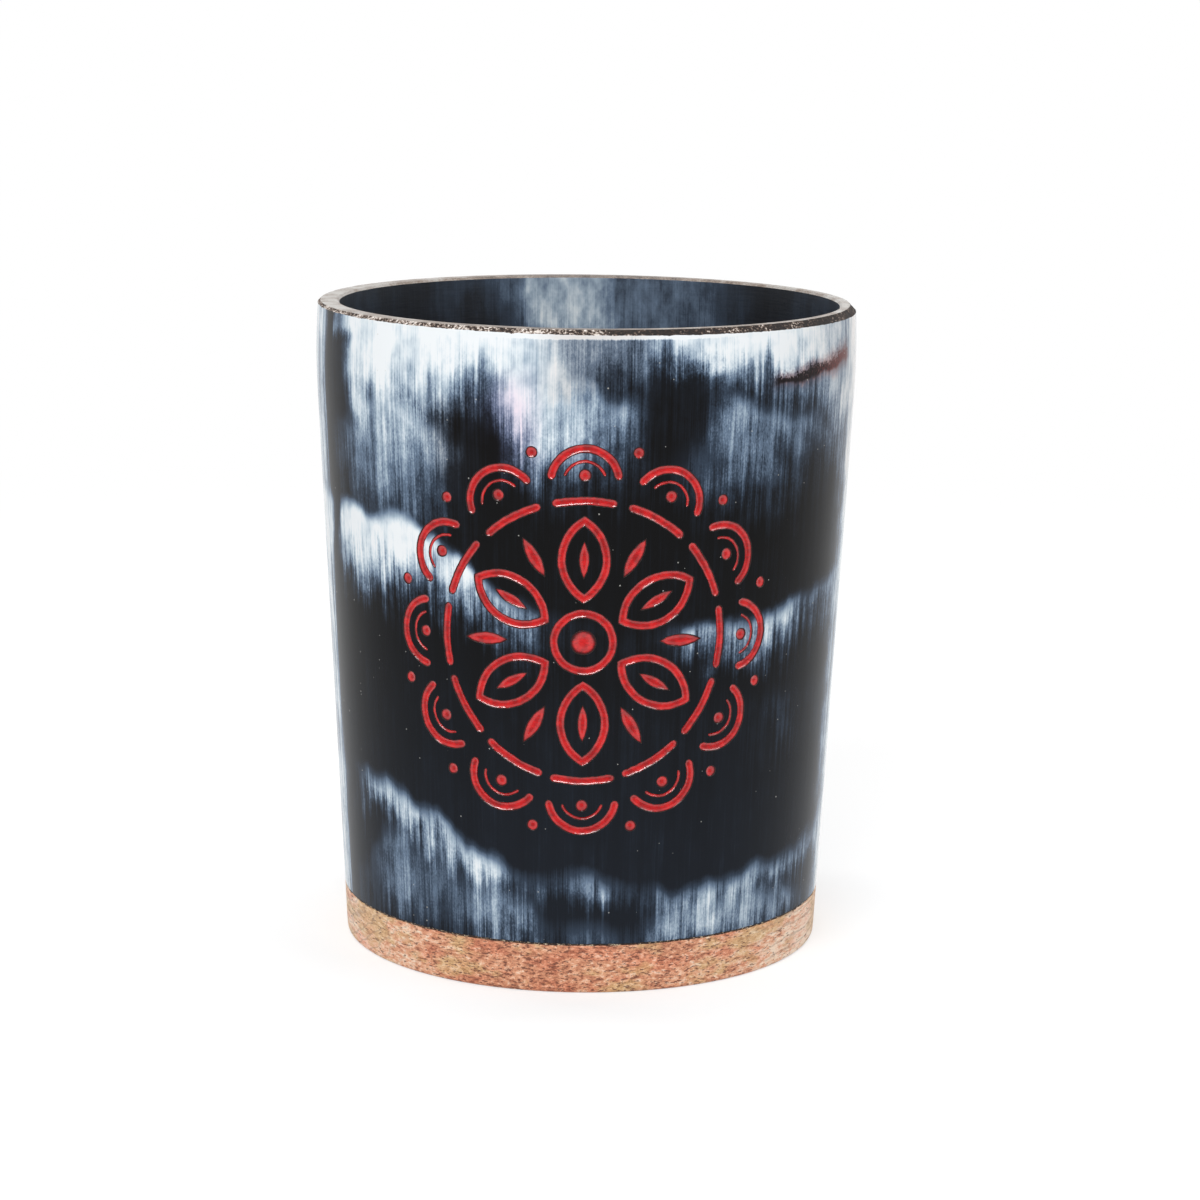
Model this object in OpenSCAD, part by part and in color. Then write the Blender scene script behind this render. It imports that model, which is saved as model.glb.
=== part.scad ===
// Drinking cup: a tapered sleeve cut from horn, closed by a turned wooden base.
// The front of the sleeve is engraved with a rosette, and the grooves are coated with red enamel.
// Millimetres. +Z is up, the origin is the centre of the base's underside, and the rosette faces -Y.

/* [Horn sleeve] */
// Height of the whole cup, from the table to the rim
cup_h = 95; // [88:1:110]
// Outside diameter at the widest level
belly_d = 79.4; // [75:0.2:86]
// How far the outside draws in from the widest level up to the rim
rim_in = 0.25; // [0.1:0.05:0.6]
// How far the widest level lies below the rim
belly_drop = 7.5; // [5:0.5:10]
// Outside diameter at the sleeve's lower end
foot_d = 71.6; // [66:0.2:74]
// Thickness of the horn wall at both ends
wall = 2.7; // [2.2:0.1:3.6]
// Sideways offset of the bore, which leaves the wall thicker on one side
bore_shift = 0.4; // [0:0.05:0.6]
// Height of the ground bevel on the rim's outer edge
bevel_h = 0.7; // [0.3:0.1:1.2]
// Width of that bevel where it is even
bevel_w = 0.6; // [0.4:0.1:1]
// Sideways offset of the bevel, which leaves it wider on one side
bevel_shift = 0.25; // [0:0.05:0.3]
// Width and height of the small bevel on the rim's inner edge
inner_bevel = 0.35; // [0.1:0.05:0.6]

/* [Wooden base] */
// Height of the wood that shows below the horn
base_h = 7.1; // [5:0.1:12]
// Height of the spigot that fills the sleeve's lower end
spigot_h = 6; // [4:0.5:8]
// How far the spigot's seat is cut into the horn wall
seat_cut = 0.6; // [0.5:0.1:0.9]
// Round on the base's lower edge
base_round = 0.5; // [0.2:0.1:1]
// Chamfer on the base's upper edge, next to the horn
base_chamfer = 0.15; // [0.05:0.05:0.3]

/* [Glue and seal] */
// Thickness of the glue between the wood's shoulder and the end of the horn
glue_line = 0.3; // [0.15:0.05:0.6]
// Gap for glue between the spigot and its seat
glue_side = 0.2; // [0.12:0.02:0.4]
// How far the glue line lies in from the outside of the horn
glue_inset = 0.08; // [0.02:0.02:0.3]
// Thickness of the clear seal coat over the wooden floor
seal_t = 0.6; // [0.3:0.1:1.5]
// Radius of the seal coat's fillet up the wall
seal_fillet = 1.4; // [0.5:0.1:3]

/* [Engraving] */
// Height of the rosette's centre above the table
rosette_z = 51.5; // [46:0.5:56]
// Width of an engraved line
line_w = 1.3; // [1:0.05:1.6]
// Width of a fine engraved line
fine_w = 0.5; // [0.4:0.05:0.7]
// How much further than half the line's width its round end reaches to each side
end_swell = 0.08; // [0.04:0.02:0.16]
// Depth of the engraving
groove_depth = 0.7; // [0.45:0.05:1]
// Thickness of the enamel on the floor of a groove
enamel_floor = 0.25; // [0.1:0.05:0.35]
// Thickness of the enamel on the walls of a groove
enamel_side = 0.12; // [0.06:0.02:0.12]

/* [Rosette] */
// Radius of the filled boss at the centre
boss_r = 1.8; // [1.2:0.1:2.4]
// Mid-line radius of the ring around the boss
eye_r = 4.1; // [3.8:0.1:4.4]
// Number of large petals, of leaves between them, and of veins
petal_n = 6; // [4:1:6]
// Distance of a petal's middle from the centre
petal_at = 11.7; // [11.5:0.1:12]
// Length of a petal's mid-line, from tip to tip
petal_l = 11; // [9:0.1:11.4]
// Width of a petal's mid-line
petal_w = 6.2; // [5.2:0.1:6.6]
// Length of the filled vein inside a petal
vein_l = 5.4; // [4:0.1:6]
// Width of that vein
vein_w = 1.5; // [1:0.1:1.8]
// Distance of a leaf's middle from the centre
leaf_at = 13.8; // [13.4:0.1:14.2]
// Length of the filled leaf between two petals
leaf_l = 6.4; // [5:0.1:7]
// Width of that leaf
leaf_w = 1.9; // [1.4:0.1:2.2]
// Mid-line radius of the broken ring around the petals
band_r = 20; // [19.7:0.1:20.4]
// Number of scallops, and of arcs in the broken ring
scallop_n = 12; // [10:1:12]
// Half the angle that an arc of the broken ring spans, in degrees
band_half = 11.1; // [8:0.1:11.6]
// Distance of a scallop's middle from the centre
scallop_at = 22.6; // [22.3:0.1:23]
// Mid-line radius of a scallop
scallop_r = 4.7; // [4.4:0.1:4.8]
// Half the angle that a scallop spans, in degrees
scallop_half = 78; // [60:1:80]
// Radius of the fine arc inside a scallop
fine_r = 2.9; // [2.7:0.1:3.2]
// Half the angle that the fine arc spans, in degrees
fine_half = 68; // [50:1:72]
// Distance of the dot inside a scallop from the centre
seed_at = 23.6; // [23.4:0.1:23.8]
// Radius of that dot
seed_r = 0.9; // [0.7:0.05:1.1]
// Distance of the dot between two scallops from the centre
bead_at = 27.6; // [27:0.1:28]
// Radius of that dot
bead_r = 0.85; // [0.6:0.05:1]

/* [Hidden] */
// Clearance between enamel and a groove's floor, and between glue or seal and a round wall
skin_gap = 0.04;
// Clearance between enamel and the walls of its groove
side_gap = 0.07;
// How far a cut runs past the face that it opens
overrun = 1;
// How far a stamp reaches below the floor of its groove, to take in the sleeve's curve
stamp_reach = 1.5;
// Steps in a small rounded edge
round_steps = 8;
// Facets in the sleeve's large arc
arc_facets = 720;
$fn = 96;

foot_r = foot_d / 2;
foot_z = base_h + glue_line;
belly_z = cup_h - belly_drop;
rim_r = belly_d / 2 - rim_in;
// The arc that rounds the sleeve from its straight taper, over the widest level, to the rim
arc_r = (belly_drop * belly_drop + rim_in * rim_in) / (2 * rim_in);
arc_x = belly_d / 2 - arc_r;
arc_away = norm([foot_r - arc_x, belly_z - foot_z]);
// The straight taper leaves the foot at the angle that meets the arc with no corner
taper_angle = atan2(belly_z - foot_z, foot_r - arc_x) - acos(arc_r / arc_away);
taper = tan(taper_angle);
shoulder_z = belly_z - arc_r * sin(taper_angle);
// The bore is one straight cone, which leaves the stated wall at both ends
bore_foot_r = foot_r - wall;
bore_rim_r = rim_r - wall;
seat_r = bore_foot_r + seat_cut;
spigot_r = seat_r - glue_side;
floor_z = foot_z + spigot_h;
seal_top = floor_z + seal_t;
clear_r = belly_d / 2 + overrun;
// Radius at which a step around the rosette is measured
rosette_r = outer_r(rosette_z);
// What the enamel's outer and inner faces lie in from the groove's wall
coat_out = side_gap;
coat_in = side_gap + enamel_side;

horn_colour = [0.13, 0.14, 0.16];
wood_colour = [0.72, 0.46, 0.34];
glue_colour = [0.16, 0.11, 0.08];
seal_colour = [0.86, 0.62, 0.40];
enamel_colour = [0.72, 0.06, 0.07];

// Outside radius of the sleeve at height z, and of its taper carried down over the base
function outer_r(z) =
    z <= shoulder_z ? foot_r + taper * (z - foot_z)
    : arc_x + sqrt(arc_r * arc_r - (z - belly_z) * (z - belly_z));

function bore_r(z) = bore_foot_r + (bore_rim_r - bore_foot_r) * (z - foot_z) / (cup_h - foot_z);

// Half of the sleeve's section, filled from its axis to a depth below its outside
module section(depth) {
    polygon([
        [0, foot_z],
        [foot_r - depth, foot_z],
        [outer_r(shoulder_z) - depth, shoulder_z],
        [0, shoulder_z]
    ]);
    intersection() {
        translate([arc_x - depth, belly_z])
            circle(r = arc_r, $fn = arc_facets);
        translate([0, shoulder_z])
            square([clear_r, cup_h - shoulder_z]);
    }
}

// The bore, the seat for the spigot below it, and the bevel on the rim's inner edge
module bore() {
    translate([bore_shift, 0, 0]) {
        translate([0, 0, foot_z])
            cylinder(h = cup_h - foot_z, r1 = bore_foot_r, r2 = bore_rim_r);
        translate([0, 0, foot_z - overrun])
            cylinder(h = overrun + spigot_h, r = seat_r);
        translate([0, 0, cup_h - inner_bevel])
            cylinder(
                h = 2 * inner_bevel,
                r1 = bore_r(cup_h - inner_bevel),
                r2 = bore_rim_r + inner_bevel + inner_bevel
            );
    }
}

// The ground bevel: what lies outside a cone that is set off to one side
module rim_bevel() {
    slope = bevel_w / bevel_h;
    below = bevel_h + overrun;
    difference() {
        translate([0, 0, cup_h - below])
            cylinder(h = below + overrun, r = clear_r);
        translate([-bevel_shift, 0, cup_h - below - overrun])
            cylinder(
                h = below + 3 * overrun,
                r1 = rim_r - bevel_w + slope * (below + overrun),
                r2 = rim_r - bevel_w - slope * 2 * overrun
            );
    }
}

// Sets a flat shape against the sleeve at a distance and a clockwise angle from the rosette's
// centre, with its Y axis pointing away from that centre, and extrudes it into the wall
module stamp(distance, angle) {
    right = distance * sin(angle);
    z = rosette_z + distance * cos(angle);
    back = outer_r(z) - groove_depth - stamp_reach;
    rotate([0, 0, right / rosette_r * 180 / PI])
        translate([0, -back, z])
            rotate([90, 0, 0])
                linear_extrude(groove_depth + stamp_reach + overrun)
                    rotate([0, 0, -angle])
                        children();
}

// A pointed oval of two equal arcs, with its tips on the Y axis, grown on every side
module pointed_oval(length, width, grow) {
    side_r = (length * length + width * width) / (4 * width);
    aside = side_r - width / 2;
    intersection() {
        translate([aside, 0])
            circle(r = side_r + grow);
        translate([-aside, 0])
            circle(r = side_r + grow);
    }
}

// A line that runs round a circle
module ring_line(radius, half_w) {
    difference() {
        circle(r = radius + half_w);
        circle(r = radius - half_w);
    }
}

// A line along an arc about the origin, from -half to +half degrees of the Y axis, with round ends
module arc_line(radius, half, half_w) {
    reach = (radius + half_w) / cos(half / 2);
    intersection() {
        ring_line(radius, half_w);
        polygon([
            [0, 0],
            [-reach * sin(half), reach * cos(half)],
            [-reach * sin(half / 2), reach * cos(half / 2)],
            [0, reach],
            [reach * sin(half / 2), reach * cos(half / 2)],
            [reach * sin(half), reach * cos(half)]
        ]);
    }
    for (side = [-1, 1])
        translate([side * radius * sin(half), radius * cos(half)])
            circle(r = half_w + end_swell);
}

// The parts of the rosette, each drawn in by an inset from the edge of its groove
module boss_shapes(inset) {
    stamp(0, 0)
        circle(r = boss_r - inset);
}

module eye_ring_shapes(inset) {
    stamp(0, 0)
        ring_line(eye_r, line_w / 2 - inset);
}

module petal_shapes(inset) {
    half_w = line_w / 2 - inset;
    for (i = [0:petal_n - 1])
        stamp(petal_at, 360 / petal_n * i)
            difference() {
                pointed_oval(petal_l, petal_w, half_w);
                pointed_oval(petal_l, petal_w, -half_w);
            }
}

module vein_shapes(inset) {
    for (i = [0:petal_n - 1])
        stamp(petal_at, 360 / petal_n * i)
            pointed_oval(vein_l, vein_w, -inset);
}

module leaf_shapes(inset) {
    for (i = [0:petal_n - 1])
        stamp(leaf_at, 360 / petal_n * (i + 1 / 2))
            pointed_oval(leaf_l, leaf_w, -inset);
}

module band_arc_shapes(inset) {
    for (i = [0:scallop_n - 1])
        stamp(band_r, 360 / scallop_n * i)
            translate([0, -band_r])
                arc_line(band_r, band_half, line_w / 2 - inset);
}

module scallop_shapes(inset) {
    for (i = [0:scallop_n - 1])
        stamp(scallop_at, 360 / scallop_n * i)
            arc_line(scallop_r, scallop_half, line_w / 2 - inset);
}

module fine_arc_shapes(inset) {
    for (i = [0:scallop_n - 1])
        stamp(scallop_at, 360 / scallop_n * i)
            arc_line(fine_r, fine_half, fine_w / 2 - inset);
}

module seed_shapes(inset) {
    for (i = [0:scallop_n - 1])
        stamp(seed_at, 360 / scallop_n * i)
            circle(r = seed_r - inset);
}

module bead_shapes(inset) {
    for (i = [0:scallop_n - 1])
        stamp(bead_at, 360 / scallop_n * (i + 1 / 2))
            circle(r = bead_r - inset);
}

module engraving() {
    difference() {
        union() {
            boss_shapes(0);
            eye_ring_shapes(0);
            petal_shapes(0);
            vein_shapes(0);
            leaf_shapes(0);
            band_arc_shapes(0);
            scallop_shapes(0);
            fine_arc_shapes(0);
            seed_shapes(0);
            bead_shapes(0);
        }
        rotate_extrude()
            section(groove_depth);
    }
}

// A coat of enamel on the floor and walls of the grooves whose full shapes are the first child,
// and whose open middles are the second
module enamel_coat() {
    color(enamel_colour)
        difference() {
            intersection() {
                rotate_extrude()
                    difference() {
                        section(skin_gap);
                        section(groove_depth - skin_gap);
                    }
                children(0);
            }
            difference() {
                children(1);
                rotate_extrude()
                    section(groove_depth - skin_gap - enamel_floor);
            }
        }
}

module horn_sleeve() {
    color(horn_colour)
        difference() {
            rotate_extrude()
                section(0);
            bore();
            rim_bevel();
            engraving();
        }
}

module wooden_base() {
    top_r = outer_r(base_h);
    color(wood_colour) {
        rotate_extrude()
            polygon(concat(
                [[0, 0]],
                [for (i = [0:round_steps]) let (a = 90 * i / round_steps) [
                    outer_r(0) - base_round * (1 - sin(a)),
                    base_round * (1 - cos(a))
                ]],
                [
                    [top_r - taper * base_chamfer, base_h - base_chamfer],
                    [top_r - base_chamfer, base_h],
                    [0, base_h]
                ]
            ));
        translate([bore_shift, 0, base_h / 2])
            cylinder(h = floor_z - base_h / 2, r = spigot_r);
    }
}

// The glue that joins the wood to the horn: a film around the spigot, and the line that shows
module glue_film() {
    color(glue_colour)
        difference() {
            union() {
                translate([0, 0, base_h])
                    cylinder(h = glue_line, r = foot_r - glue_inset);
                translate([bore_shift, 0, base_h + glue_line / 2])
                    cylinder(h = spigot_h + glue_line / 2 - skin_gap, r = seat_r - skin_gap);
            }
            translate([bore_shift, 0, base_h - overrun])
                cylinder(h = floor_z - base_h + 2 * overrun, r = spigot_r + skin_gap);
        }
}

// The clear coat over the wooden floor, drawn up the wall in a fillet
module floor_seal() {
    color(seal_colour)
        translate([bore_shift, 0, 0])
            rotate_extrude()
                polygon(concat(
                    [[0, floor_z], [bore_r(floor_z) - skin_gap, floor_z]],
                    [for (i = [0:round_steps]) let (
                        a = 90 * i / round_steps,
                        z = seal_top + seal_fillet * (1 - sin(a))
                    ) [bore_r(z) - skin_gap - seal_fillet * (1 - cos(a)), z]],
                    [[0, seal_top]]
                ));
}

module enamel_boss() {
    enamel_coat() {
        boss_shapes(coat_out);
        boss_shapes(coat_in);
    }
}

module enamel_eye_ring() {
    enamel_coat() {
        eye_ring_shapes(coat_out);
        eye_ring_shapes(coat_in);
    }
}

module enamel_petals() {
    enamel_coat() {
        petal_shapes(coat_out);
        petal_shapes(coat_in);
    }
}

module enamel_veins() {
    enamel_coat() {
        vein_shapes(coat_out);
        vein_shapes(coat_in);
    }
}

module enamel_leaves() {
    enamel_coat() {
        leaf_shapes(coat_out);
        leaf_shapes(coat_in);
    }
}

module enamel_band_arcs() {
    enamel_coat() {
        band_arc_shapes(coat_out);
        band_arc_shapes(coat_in);
    }
}

module enamel_scallops() {
    enamel_coat() {
        scallop_shapes(coat_out);
        scallop_shapes(coat_in);
    }
}

module enamel_fine_arcs() {
    enamel_coat() {
        fine_arc_shapes(coat_out);
        fine_arc_shapes(coat_in);
    }
}

module enamel_seeds() {
    enamel_coat() {
        seed_shapes(coat_out);
        seed_shapes(coat_in);
    }
}

module enamel_beads() {
    enamel_coat() {
        bead_shapes(coat_out);
        bead_shapes(coat_in);
    }
}

horn_sleeve();
wooden_base();
glue_film();
floor_seal();
enamel_boss();
enamel_eye_ring();
enamel_petals();
enamel_veins();
enamel_leaves();
enamel_band_arcs();
enamel_scallops();
enamel_fine_arcs();
enamel_seeds();
enamel_beads();
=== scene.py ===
"""Looks of the horn drinking cup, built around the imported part. Metres, +Z up, the rosette faces -Y."""

import math

import bpy
import numpy as np
from mathutils import Matrix, Vector
from mathutils.geometry import delaunay_2d_cdt


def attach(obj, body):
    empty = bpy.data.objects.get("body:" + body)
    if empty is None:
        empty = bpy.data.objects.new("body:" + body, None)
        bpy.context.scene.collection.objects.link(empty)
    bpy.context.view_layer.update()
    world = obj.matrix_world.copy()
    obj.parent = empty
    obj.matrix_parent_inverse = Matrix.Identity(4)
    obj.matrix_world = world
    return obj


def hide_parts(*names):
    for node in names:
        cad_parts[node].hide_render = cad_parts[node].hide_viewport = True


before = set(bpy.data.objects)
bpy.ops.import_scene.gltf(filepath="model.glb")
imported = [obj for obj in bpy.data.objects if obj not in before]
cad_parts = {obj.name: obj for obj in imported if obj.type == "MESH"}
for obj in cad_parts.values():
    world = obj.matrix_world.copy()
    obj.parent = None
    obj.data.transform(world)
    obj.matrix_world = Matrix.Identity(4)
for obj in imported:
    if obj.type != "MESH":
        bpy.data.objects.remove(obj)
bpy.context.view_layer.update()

MM = 0.001
TINY = 1e-9
ROOT = "root"

# Sizes of the cup, the same as the part's own
CUP_H = 95 * MM
BELLY_R = 39.7 * MM
RIM_IN = 0.25 * MM
BELLY_DROP = 7.5 * MM
FOOT_R = 35.8 * MM
WALL = 2.7 * MM
BORE_SHIFT = 0.4 * MM
BEVEL_H = 0.7 * MM
BEVEL_W = 0.6 * MM
BEVEL_SHIFT = 0.25 * MM
INNER_BEVEL = 0.35 * MM
BASE_H = 7.1 * MM
SPIGOT_H = 6 * MM
SEAT_CUT = 0.6 * MM
BASE_ROUND = 0.5 * MM
BASE_CHAMFER = 0.15 * MM
GLUE_LINE = 0.3 * MM
GLUE_SIDE = 0.2 * MM
GLUE_INSET = 0.08 * MM

FOOT_Z = BASE_H + GLUE_LINE
BELLY_Z = CUP_H - BELLY_DROP
RIM_R = BELLY_R - RIM_IN
ARC_R = (BELLY_DROP ** 2 + RIM_IN ** 2) / (2 * RIM_IN)
ARC_X = BELLY_R - ARC_R
TAPER_ANGLE = (
    math.atan2(BELLY_Z - FOOT_Z, FOOT_R - ARC_X)
    - math.acos(ARC_R / math.hypot(FOOT_R - ARC_X, BELLY_Z - FOOT_Z))
)
TAPER = math.tan(TAPER_ANGLE)
SHOULDER_Z = BELLY_Z - ARC_R * math.sin(TAPER_ANGLE)
BORE_FOOT_R = FOOT_R - WALL
BORE_RIM_R = RIM_R - WALL
SEAT_R = BORE_FOOT_R + SEAT_CUT
FLOOR_Z = FOOT_Z + SPIGOT_H

# Sizes of the rosette
ROSETTE_Z = 51.5 * MM
LINE_HALF = 0.65 * MM
FINE_HALF = 0.25 * MM
END_SWELL = 0.08 * MM
PETALS = 6
SCALLOPS = 12


# The camera stands where the photograph's camera stood
def make_camera():
    away, height = 476.36 * MM, 144.66 * MM
    pitch, yaw, roll = 0.1962, 0.0051, 0.0117
    forward = Vector((math.sin(yaw) * math.cos(pitch), math.cos(yaw) * math.cos(pitch), -math.sin(pitch)))
    right = forward.cross(Vector((0, 0, 1))).normalized()
    up = right.cross(forward)
    rolled_right = right * math.cos(roll) + up * math.sin(roll)
    rolled_up = up * math.cos(roll) - right * math.sin(roll)
    data = bpy.data.cameras.new("camera")
    data.sensor_width = 36
    data.lens = 97.24
    data.clip_start = 0.01
    camera = bpy.data.objects.new("camera", data)
    bpy.context.scene.collection.objects.link(camera)
    turn = Matrix((rolled_right, rolled_up, -forward)).transposed()
    camera.matrix_world = Matrix.Translation((0, -away, height)) @ turn.to_4x4()
    bpy.context.scene.camera = camera


make_camera()


# Outlines of the sleeve
def outer_r(z):
    z = np.asarray(z, float)
    arc = ARC_X + np.sqrt(np.maximum(ARC_R ** 2 - (z - BELLY_Z) ** 2, 0))
    return np.where(z <= SHOULDER_Z, FOOT_R + TAPER * (z - FOOT_Z), arc)


def outer_slope(z):
    z = np.asarray(z, float)
    arc = -(z - BELLY_Z) / np.sqrt(np.maximum(ARC_R ** 2 - (z - BELLY_Z) ** 2, 1e-12))
    return np.where(z <= SHOULDER_Z, TAPER, arc)


def bore_r(z):
    return BORE_FOOT_R + (BORE_RIM_R - BORE_FOOT_R) * (z - FOOT_Z) / (CUP_H - FOOT_Z)


ROSETTE_R = float(outer_r(ROSETTE_Z))


def on_circle(turn, r, z, shift=0.0):
    """Points at an angle from the front towards +X, on a circle whose centre is shifted along +X."""
    turn, r, z = np.broadcast_arrays(np.asarray(turn, float), r, z)
    return np.stack([shift + r * np.sin(turn), -r * np.cos(turn), z], -1)


def smooth(t):
    t = np.clip(t, 0, 1)
    return t * t * (3 - 2 * t)


def rough_line(turn, seed, waves, size):
    """A jagged line round the cup: a sum of many sine waves with random phases, the same on each run."""
    random = np.random.default_rng(seed)
    total = np.zeros_like(turn)
    for count in waves:
        total += np.sin(count * turn + random.uniform(0, 2 * math.pi)) * random.uniform(0.6, 1.4)
    return size * total / math.sqrt(len(waves))


# Strokes of the rosette. Each is a stack of loops of flat points, from its edge inwards, with the
# distance of each loop from the nearest edge of the stroke.
WALL_ZONE = 0.34 * MM
WALL_SHARES = np.array([0, 0.06, 0.14, 0.24, 0.36, 0.5, 0.66, 0.82, 1.0])


def insets(half):
    """Distances from the edge at which loops are drawn: close together on the wall, few on the floor."""
    zone = min(WALL_ZONE, half * 0.8)
    return np.append(WALL_SHARES * zone, [(zone + half) / 2, half])


# Places in the list of insets of the loops that only the enamel's face needs
FACE_LOOPS = [4, 7, 8, 9]


def hidden_loops(stroke):
    """The loops that the surfaces under the enamel's face need, each with its inset."""
    left_out = insets(stroke["half"])[FACE_LOOPS]
    pairs = zip(stroke["loops"], stroke["inset"])
    return [(loop, inset) for loop, inset in pairs if abs(left_out - inset).min() > TINY]


def circle(radius, count):
    turn = np.linspace(0, 2 * math.pi, count, endpoint=False)
    return np.stack([radius * np.cos(turn), radius * np.sin(turn)], -1)


def disc(radius):
    steps = insets(radius)
    loops = [circle(radius - d, 48) for d in steps]
    return {"loops": loops, "inset": steps, "half": radius}


def across(half):
    """Steps from one edge of a line over its middle to the other edge, as signed distances."""
    side = half - insets(half)
    return np.append(side, -side[:-1][::-1])


def ring(radius, half):
    side = across(half)
    loops = [circle(radius + g, 96) for g in side]
    return {"loops": loops, "inset": half - np.abs(side), "half": half}


def oval_loop(length, width, grow, count):
    """A pointed oval of two equal arcs with its tips on the Y axis, grown on every side."""
    side_r = (length ** 2 + width ** 2) / (4 * width)
    aside = side_r - width / 2
    r = max(side_r + grow, aside)
    reach = math.acos(min(1.0, aside / r))
    sweep = np.linspace(-reach, reach, count + 1)[:-1]
    right = np.stack([r * np.cos(sweep) - aside, r * np.sin(sweep)], -1)
    return np.concatenate([right, -right])


def oval_line(length, width, half):
    side = across(half)
    loops = [oval_loop(length, width, g, 48) for g in side]
    return {"loops": loops, "inset": half - np.abs(side), "half": half}


def oval(length, width):
    steps = insets(width / 2)
    loops = [oval_loop(length, width, -d, 32) for d in steps]
    return {"loops": loops, "inset": steps, "half": width / 2}


def arc_line(radius, half_angle, half, centre_y=0.0):
    """A line along an arc about a point on the Y axis, with round ends."""
    steps = insets(half)
    sweep = np.radians(np.linspace(-half_angle, half_angle, 41))
    rays = np.stack([np.sin(sweep), np.cos(sweep)], -1)
    cap = np.linspace(0, math.pi, 13)[1:-1]
    loops = []
    for d in steps:
        w = half - d
        ends = []
        for outward, sign in ((rays[-1], 1), (rays[0], -1)):
            along = np.array([outward[1], -outward[0]])
            swell = w + END_SWELL * w / half
            reach = np.where(np.abs(np.cos(cap)) > 0.7, w, swell) * sign
            round_end = np.outer(reach * np.cos(cap), outward) + np.outer(reach * np.sin(cap), along)
            ends.append(radius * outward + round_end)
        loop = np.concatenate([(radius + w) * rays, ends[0], (radius - w) * rays[::-1], ends[1]])
        loops.append(loop + [0, centre_y])
    return {"loops": loops, "inset": steps, "half": half}


WANDER = 0.022 * MM
SIDE_WAVES = ((1, 0.7, 1.1, 0.3), (0.6, 2.9, -1.7, 1.1), (0.5, 3.1, 5.3, 0))
RISE_WAVES = ((1, 1.3, -0.9, 2.1), (0.6, 2.7, 2.3, 0), (0.5, 6.1, -2.2, 0.5))


def wobble(s, z):
    """Small wander of a hand-finished line, as steps along the surface and up it."""
    return [
        WANDER * sum(size * np.sin(along * s / MM + up * z / MM + phase) for size, along, up, phase in waves)
        for waves in (SIDE_WAVES, RISE_WAVES)
    ]


def place(flat, depth, distance, angle):
    """Sets flat points against the sleeve, at a distance and a clockwise angle from the rosette's centre."""
    right, up = distance * math.sin(angle), distance * math.cos(angle)
    x = flat[:, 0] * math.cos(angle) + flat[:, 1] * math.sin(angle)
    z = ROSETTE_Z + up - flat[:, 0] * math.sin(angle) + flat[:, 1] * math.cos(angle)
    turn = right / ROSETTE_R + np.arcsin(x / outer_r(z))
    side, rise = wobble(turn * ROSETTE_R, z)
    z = z + rise
    turn = turn + side / ROSETTE_R
    return on_circle(turn, outer_r(z) - depth, z), np.stack([turn * ROSETTE_R, z], -1)


def rosette():
    """Every stroke of the rosette under its node's name, each with its place."""
    turn, half_turn = 2 * math.pi / PETALS, math.pi / PETALS
    step, half_step = 2 * math.pi / SCALLOPS, math.pi / SCALLOPS
    band_r, scallop_at = 20 * MM, 22.6 * MM
    petals = [i * turn for i in range(PETALS)]
    between = [i * turn + half_turn for i in range(PETALS)]
    rays = [i * step for i in range(SCALLOPS)]
    gaps = [i * step + half_step for i in range(SCALLOPS)]
    return {
        "enamel_boss": [(disc(1.8 * MM), 0, 0)],
        "enamel_eye_ring": [(ring(4.1 * MM, LINE_HALF), 0, 0)],
        "enamel_petals": [(oval_line(11 * MM, 6.2 * MM, LINE_HALF), 11.7 * MM, a) for a in petals],
        "enamel_veins": [(oval(5.4 * MM, 1.5 * MM), 11.7 * MM, a) for a in petals],
        "enamel_leaves": [(oval(6.4 * MM, 1.9 * MM), 13.8 * MM, a) for a in between],
        "enamel_band_arcs": [(arc_line(band_r, 11.1, LINE_HALF, -band_r), band_r, a) for a in rays],
        "enamel_scallops": [(arc_line(4.7 * MM, 78, LINE_HALF), scallop_at, a) for a in rays],
        "enamel_fine_arcs": [(arc_line(2.9 * MM, 68, FINE_HALF), scallop_at, a) for a in rays],
        "enamel_seeds": [(disc(0.9 * MM), 23.6 * MM, a) for a in rays],
        "enamel_beads": [(disc(0.85 * MM), 27.6 * MM, a) for a in gaps],
    }


# Depths across a stroke. A stroke narrower than two wall zones is cut less deep.
GROOVE_DEPTH = 0.7 * MM
WALL_W = 0.22 * MM
LIP = 0.03 * MM
COAT_FLOOR = 0.42 * MM
COAT_GAP = 0.01 * MM


def groove_depth(inset, half):
    """Depth of the cut horn at a distance from the stroke's edge."""
    deep = GROOVE_DEPTH * min(1, half / WALL_ZONE)
    return deep * smooth(inset / min(WALL_W, 0.6 * half))


def coat_depth(inset, half):
    """Depth of the enamel's face, which climbs the walls of its groove."""
    start = groove_depth(LIP, half)
    deep = groove_depth(half, half) - COAT_FLOOR * min(1, half / WALL_ZONE)
    away = min(1, (inset - LIP) / (half - LIP))
    return start + (deep - start) * (1 - (1 - away) ** 2)


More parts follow.
